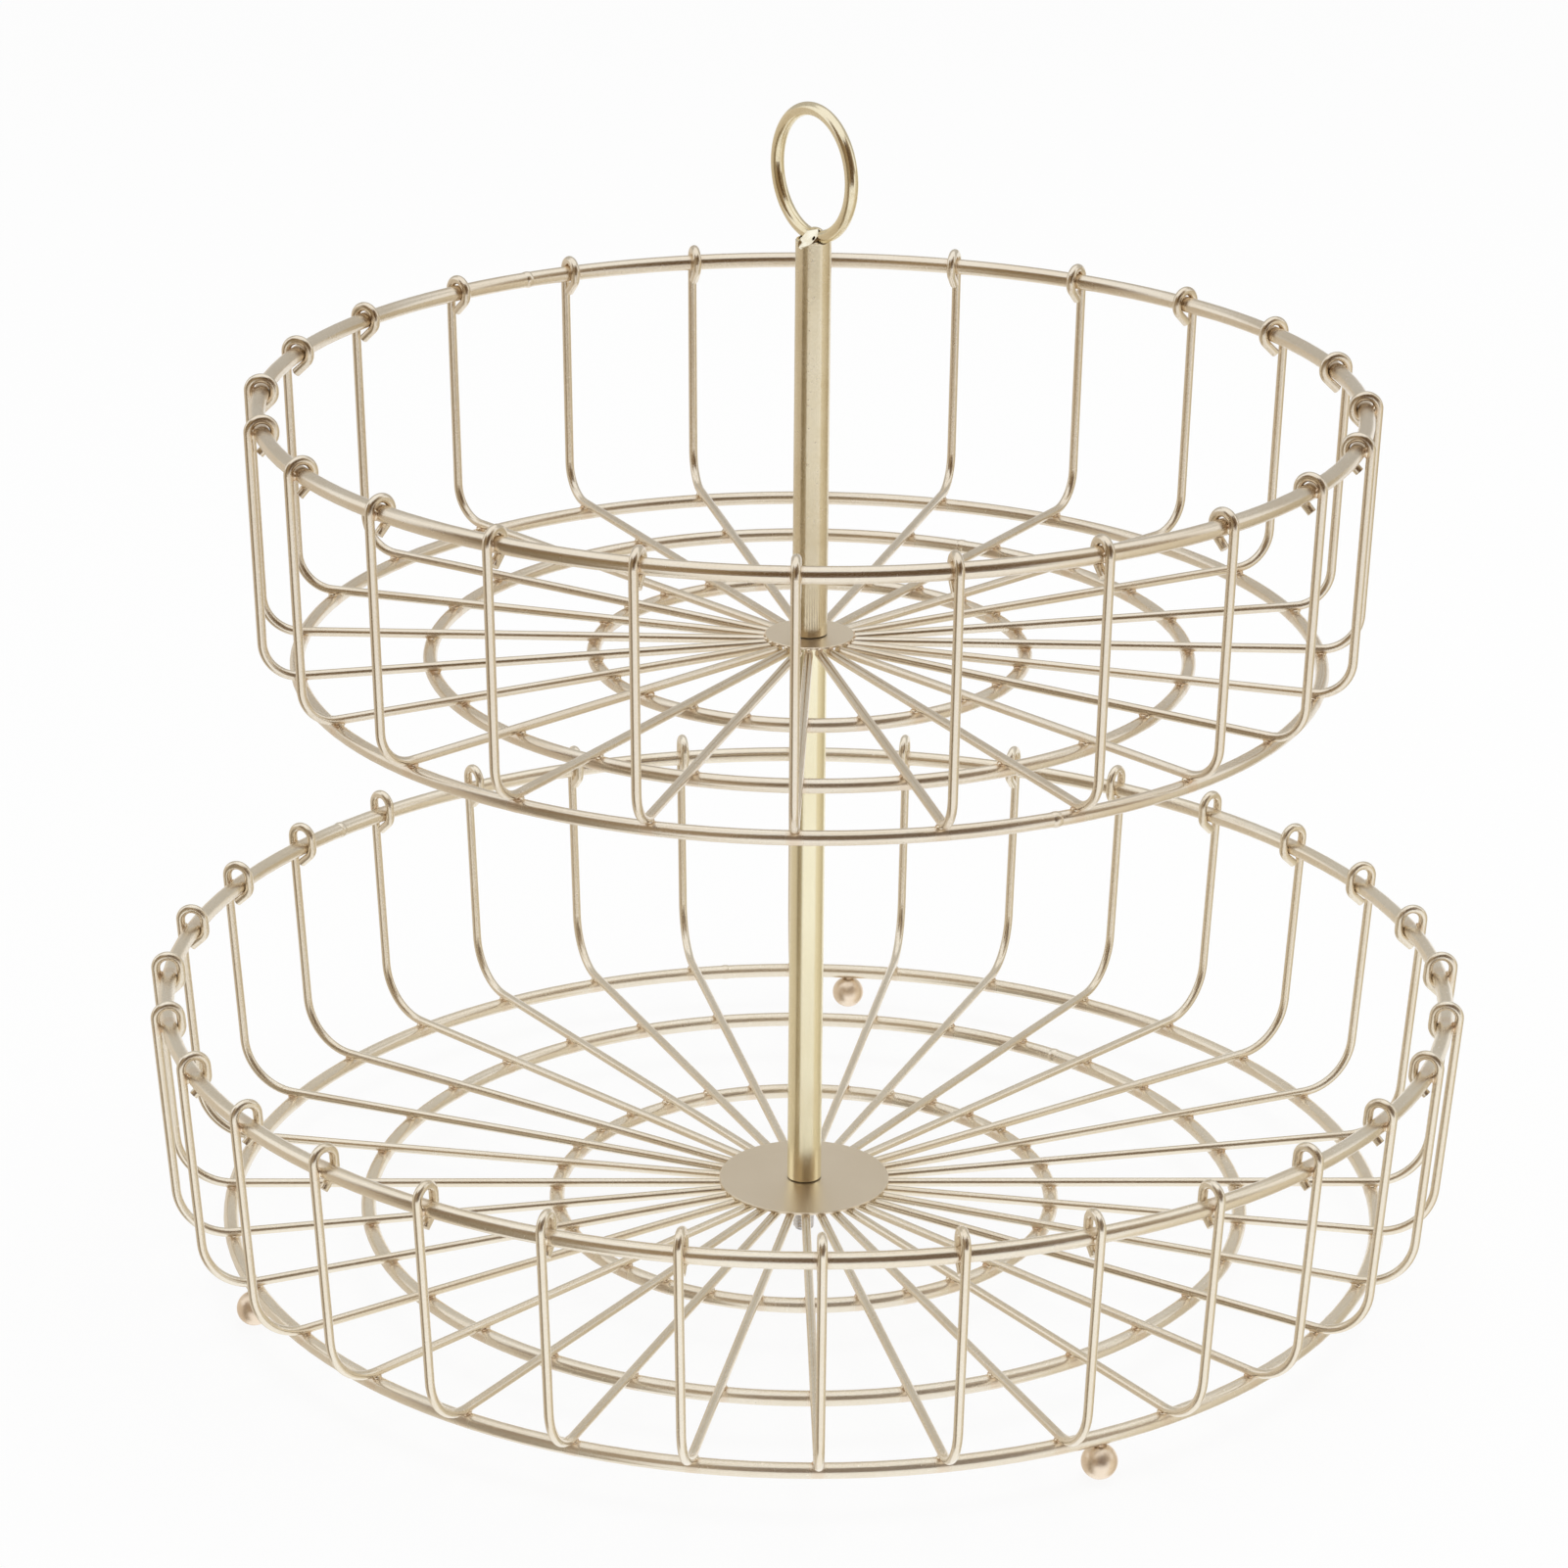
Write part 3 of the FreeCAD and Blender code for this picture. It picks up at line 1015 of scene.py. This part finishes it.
@dataclass
class BottomFastening:
    """The stud, nut and washer under the lower hub disc, and the stud that joins the tubes."""

    pitch: float = 0.8 * MM
    thread_depth: float = 0.42 * MM
    flat_share: float = 0.14
    point_length: float = 0.4 * MM
    steps_per_turn: int = 24
    merge_gap: float = 0.002 * MM
    cut_gap: float = 0.0001 * MM

    def threaded_rod(self, node: str) -> bmesh.types.BMesh:
        """A right-handed thread cut over the whole length of a stud, with both ends pointed.

        Args:
            node: the plain stud's CAD node.

        Returns:
            The rod as a closed mesh.
        """
        low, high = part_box(node)
        crest = (high.x - low.x) / 2
        root = crest - self.thread_depth
        flat = self.flat_share * self.pitch
        slope = self.pitch / 2 - flat
        outline = (
            (root, 0.0), (root, flat), (crest, flat + slope), (crest, 2 * flat + slope), (root, self.pitch),
        )
        turns = math.ceil((high.z - low.z) / self.pitch) + 2
        shape = bmesh.new()
        points = [shape.verts.new((out, 0.0, low.z - self.pitch + up)) for out, up in outline]
        edges = [shape.edges.new(pair) for pair in zip(points, points[1:])]
        climb = (0.0, 0.0, self.pitch / self.steps_per_turn)
        bmesh.ops.spin(
            shape, geom=points + edges, axis=UP, cent=ORIGIN, dvec=climb, angle=2 * math.pi * turns,
            steps=turns * self.steps_per_turn,
        )
        bmesh.ops.remove_doubles(shape, verts=shape.verts, dist=self.merge_gap)
        for height, facing in ((low.z, -1.0), (high.z, 1.0)):
            everything = list(shape.verts) + list(shape.edges) + list(shape.faces)
            bmesh.ops.bisect_plane(
                shape, geom=everything, dist=self.cut_gap, plane_co=(0, 0, height), plane_no=(0, 0, facing),
                clear_outer=True,
            )
        self.point_ends(shape, low.z, high.z, root)
        bmesh.ops.holes_fill(shape, edges=shape.edges, sides=0)
        bmesh.ops.recalc_face_normals(shape, faces=shape.faces)
        return shape

    def point_ends(self, shape: bmesh.types.BMesh, bottom: float, top: float, root: float) -> None:
        """Hold the thread inside a cone at each end.

        Args:
            shape: the rod's mesh.
            bottom: height of the rod's lower end.
            top: height of its upper end.
            root: radius of the thread's root, from which the cones start.
        """
        for vert in shape.verts:
            inside = min(vert.co.z - bottom, top - vert.co.z)
            limit = root + (inside - self.point_length / 2)
            reach = math.hypot(vert.co.x, vert.co.y)
            if reach > limit:
                vert.co.x *= limit / reach
                vert.co.y *= limit / reach

    def build(self) -> None:
        """Cut the threads of both studs."""
        for node in ("bottom_stud", "joining_stud"):
            low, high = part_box(node)
            crest = (high.x - low.x) / 2
            zinc = ZINC.material(node, crest - self.thread_depth, crest)
            rod = make_piece(f"{node}_thread", self.threaded_rod(node), [zinc], "lower_basket")
            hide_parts(node)

    def dress(self) -> None:
        """Finish the nut and the washer."""
        for node in ("bottom_nut", "bottom_washer"):
            dress(node, ZINC.material(node))


@dataclass(frozen=True)
class Viewpoint:
    """Where the camera stands, as found from the basket's outline in the picture."""

    lens: float = 111.92
    sensor: float = 36.0
    distance: float = 1.1197
    elevation: float = 20.842
    roll: float = 0.471
    target: tuple[float, float, float] = (-0.00552, 0.0, 0.11343)

    def add(self) -> None:
        """Make the camera and hand it to the scene."""
        tilt, roll = math.radians(self.elevation), math.radians(self.roll)
        back = Vector((0.0, -math.cos(tilt), math.sin(tilt)))
        up = Vector((0.0, math.sin(tilt), math.cos(tilt)))
        right = Vector((1.0, 0.0, 0.0))
        rolled_right = right * math.cos(roll) + up * math.sin(roll)
        rolled_up = up * math.cos(roll) - right * math.sin(roll)
        data = bpy.data.cameras.new("camera")
        data.lens = self.lens
        data.sensor_width = self.sensor
        camera = bpy.data.objects.new("camera", data)
        turn = Matrix((rolled_right, rolled_up, back)).transposed().to_4x4()
        camera.matrix_world = Matrix.Translation(Vector(self.target) + back * self.distance) @ turn
        bpy.context.scene.collection.objects.link(camera)
        bpy.context.scene.camera = camera


@dataclass(frozen=True)
class Card:
    """A curved reflection card that only the gloss of the metal sees."""

    name: str
    azimuths: tuple[float, float]
    elevations: tuple[float, float]
    start_shade: Colour
    end_shade: Colour
    radius: float = 2.2
    centre: tuple[float, float, float] = (0.0, 0.0, 0.12)
    steps_up: int = 12
    steps_round: int = 24

    def material(self) -> Material:
        """Make the card's glow.

        Returns:
            A material that goes from one shade to the other across the card, from left to right.
        """
        material, graph = new_graph(self.name)
        x, y, _ = graph.split(graph.place())
        middle = math.radians(sum(self.azimuths) / 2)
        across = x * math.cos(middle) + y * math.sin(middle)
        ahead = x * math.sin(middle) - y * math.cos(middle)
        half = math.radians(self.azimuths[1] - self.azimuths[0]) / 2
        share = graph.ramp(graph.math("ARCTAN2", across, ahead), -half, half)
        colour = graph.mix(self.start_shade, self.end_shade, share)
        graph.output(graph.node("ShaderNodeEmission", inputs={"Color": colour, "Strength": 1.0}))
        return material

    def add(self) -> None:
        """Make the card as a patch of a sphere about the basket."""
        shape = bmesh.new()
        low, high = (math.radians(angle) for angle in self.elevations)
        start, end = (math.radians(angle) for angle in self.azimuths)
        first = shape.verts.new((0.0, -math.cos(low) * self.radius, math.sin(low) * self.radius))
        bmesh.ops.spin(
            shape, geom=[first], axis=(-1, 0, 0), cent=ORIGIN, angle=high - low, steps=self.steps_up
        )
        bmesh.ops.rotate(shape, cent=ORIGIN, matrix=Matrix.Rotation(start, 3, "Z"), verts=shape.verts)
        profile = list(shape.verts) + list(shape.edges)
        bmesh.ops.spin(
            shape, geom=profile, axis=UP, cent=ORIGIN, angle=end - start, steps=self.steps_round
        )
        bmesh.ops.translate(shape, vec=self.centre, verts=shape.verts)
        mesh = bpy.data.meshes.new(self.name)
        shape.to_mesh(mesh)
        shape.free()
        mesh.materials.append(self.material())
        card = bpy.data.objects.new(self.name, mesh)
        bpy.context.scene.collection.objects.link(card)
        card.visible_camera = False
        card.visible_diffuse = False
        card.visible_shadow = False


@dataclass
class Studio:
    """Pale floor, soft light, reflection cards and the camera."""

    floor_radius: float = 7.0
    floor_sides: int = 96
    floor_drop: float = 0.05 * MM
    floor_colour: Colour = (0.93, 0.93, 0.925)
    floor_whitening: float = 0.90
    mottle_size: float = 0.4
    mottle_gain: float = 1.03
    sky_strength: float = 0.74
    lamp_place: Sequence[float] = (0.35, 0.30, 1.45)
    lamp_size: float = 0.9
    lamp_power: float = 6.0
    cards: Sequence[Card] = (
        Card("left_drape", (-80.0, -14.0), (-10.0, 45.0), (0.19, 0.125, 0.07), (0.34, 0.25, 0.15)),
        Card("centre_drape", (-14.0, 42.0), (-8.0, 56.0), (0.12, 0.07, 0.035), (0.13, 0.085, 0.05)),
        Card("right_drape", (42.0, 80.0), (8.5, 60.0), (0.20, 0.14, 0.09), (0.42, 0.34, 0.24)),
        Card("back_wall", (105.0, 242.0), (3.0, 48.0), (0.54, 0.52, 0.49), (0.54, 0.52, 0.49)),
        Card("left_fall", (-165.0, -70.0), (-60.0, 8.0), (0.74, 0.68, 0.60), (0.60, 0.52, 0.42), radius=2.1),
        Card("left_edge", (-70.0, -34.0), (-60.0, 8.0), (0.22, 0.17, 0.11), (0.34, 0.28, 0.19), radius=2.1),
        Card("right_fall", (58.0, 130.0), (-60.0, 8.0), (0.82, 0.75, 0.62), (0.49, 0.42, 0.30), radius=2.1),
    )
    viewpoint: Viewpoint = Viewpoint()

    def floor_material(self) -> Material:
        """Make the floor's finish.

        Returns:
            A pale material that keeps the shadow and shows close to white where it is bare.
        """
        material, graph = new_graph("pale_floor")
        mottle = graph.noise(graph.place(), self.mottle_size)
        paler = [min(1.0, part * self.mottle_gain) for part in self.floor_colour]
        colour = graph.mix(self.floor_colour, paler, mottle)
        plain = graph.node("ShaderNodeBsdfDiffuse", inputs={"Color": colour})
        white = graph.node("ShaderNodeEmission", inputs={"Color": WHITE, "Strength": 1.0})
        factor = graph.seen_or_mirrored() * self.floor_whitening
        graph.output(graph.node("ShaderNodeMixShader", inputs={0: factor, 1: plain, 2: white}))
        return material

    def add_floor(self) -> None:
        """Make the round floor."""
        shape = bmesh.new()
        place = Matrix.Translation((0.0, 0.0, -self.floor_drop))
        bmesh.ops.create_circle(
            shape, cap_ends=True, segments=self.floor_sides, radius=self.floor_radius, matrix=place
        )
        mesh = bpy.data.meshes.new("floor")
        shape.to_mesh(mesh)
        shape.free()
        mesh.materials.append(self.floor_material())
        floor = bpy.data.objects.new("floor", mesh)
        bpy.context.scene.collection.objects.link(floor)
        floor.visible_glossy = False

    def add_sky(self) -> None:
        """Even white surroundings."""
        world = bpy.data.worlds.new("white_surroundings")
        world.use_nodes = True
        bpy.context.scene.world = world
        graph = Graph(world.node_tree)
        strength = graph.seen_or_mirrored() * (1.0 - self.sky_strength) + self.sky_strength
        background = {"Color": WHITE, "Strength": strength}
        graph.output(graph.node("ShaderNodeBackground", inputs=background), "ShaderNodeOutputWorld")

    def add_lamp(self) -> None:
        """A large softbox overhead."""
        data = bpy.data.lights.new("overhead_softbox", "AREA")
        data.shape = "SQUARE"
        data.size = self.lamp_size
        data.energy = self.lamp_power
        lamp = bpy.data.objects.new("overhead_softbox", data)
        place = Vector(self.lamp_place)
        aim = (Vector(self.viewpoint.target) - place).to_track_quat("-Z", "Y")
        lamp.matrix_world = Matrix.Translation(place) @ aim.to_matrix().to_4x4()
        bpy.context.scene.collection.objects.link(lamp)
        lamp.visible_glossy = False

    def build(self) -> None:
        """Set up the floor, light, cards, camera and plain colour handling."""
        self.add_floor()
        self.add_sky()
        self.add_lamp()
        for card in self.cards:
            card.add()
        self.viewpoint.add()
        bpy.context.scene.view_settings.view_transform = "Standard"


def main() -> None:
    """Build and dress the basket, then the studio round it."""
    logging.basicConfig(level=logging.INFO, format="%(name)s: %(message)s")
    lower = WireTier(
        "lower", rib_count=32, first_rib_angle=1.2, seed=11,
        seam_angles={"rim": 142.0, "outer": 98.75, "middle": 52.0, "inner": 209.5},
        hub_weld=Nugget((0.7, 0.6, 0.25)), hub_weld_inset=0.9,
        wire_finish=LOWER_WIRE_GOLD, ring_finish=LOWER_RING_GOLD,
    )
    upper = WireTier(
        "upper", rib_count=24, first_rib_angle=13.4, seed=23,
        seam_angles={"rim": 124.0, "outer": 296.0, "middle": 64.5, "inner": 184.0},
        hub_weld=Nugget((0.75, 0.8, 0.45)), hub_weld_inset=0.2,
        wire_finish=UPPER_WIRE_SHADED_GOLD, ring_finish=UPPER_RING_SHADED_GOLD,
    )
    for part in (lower, upper, BallFeet(), CentrePole(), BottomFastening()):
        part.build()
        part.dress()
    Studio().build()


if __name__ == "__main__":
    main()
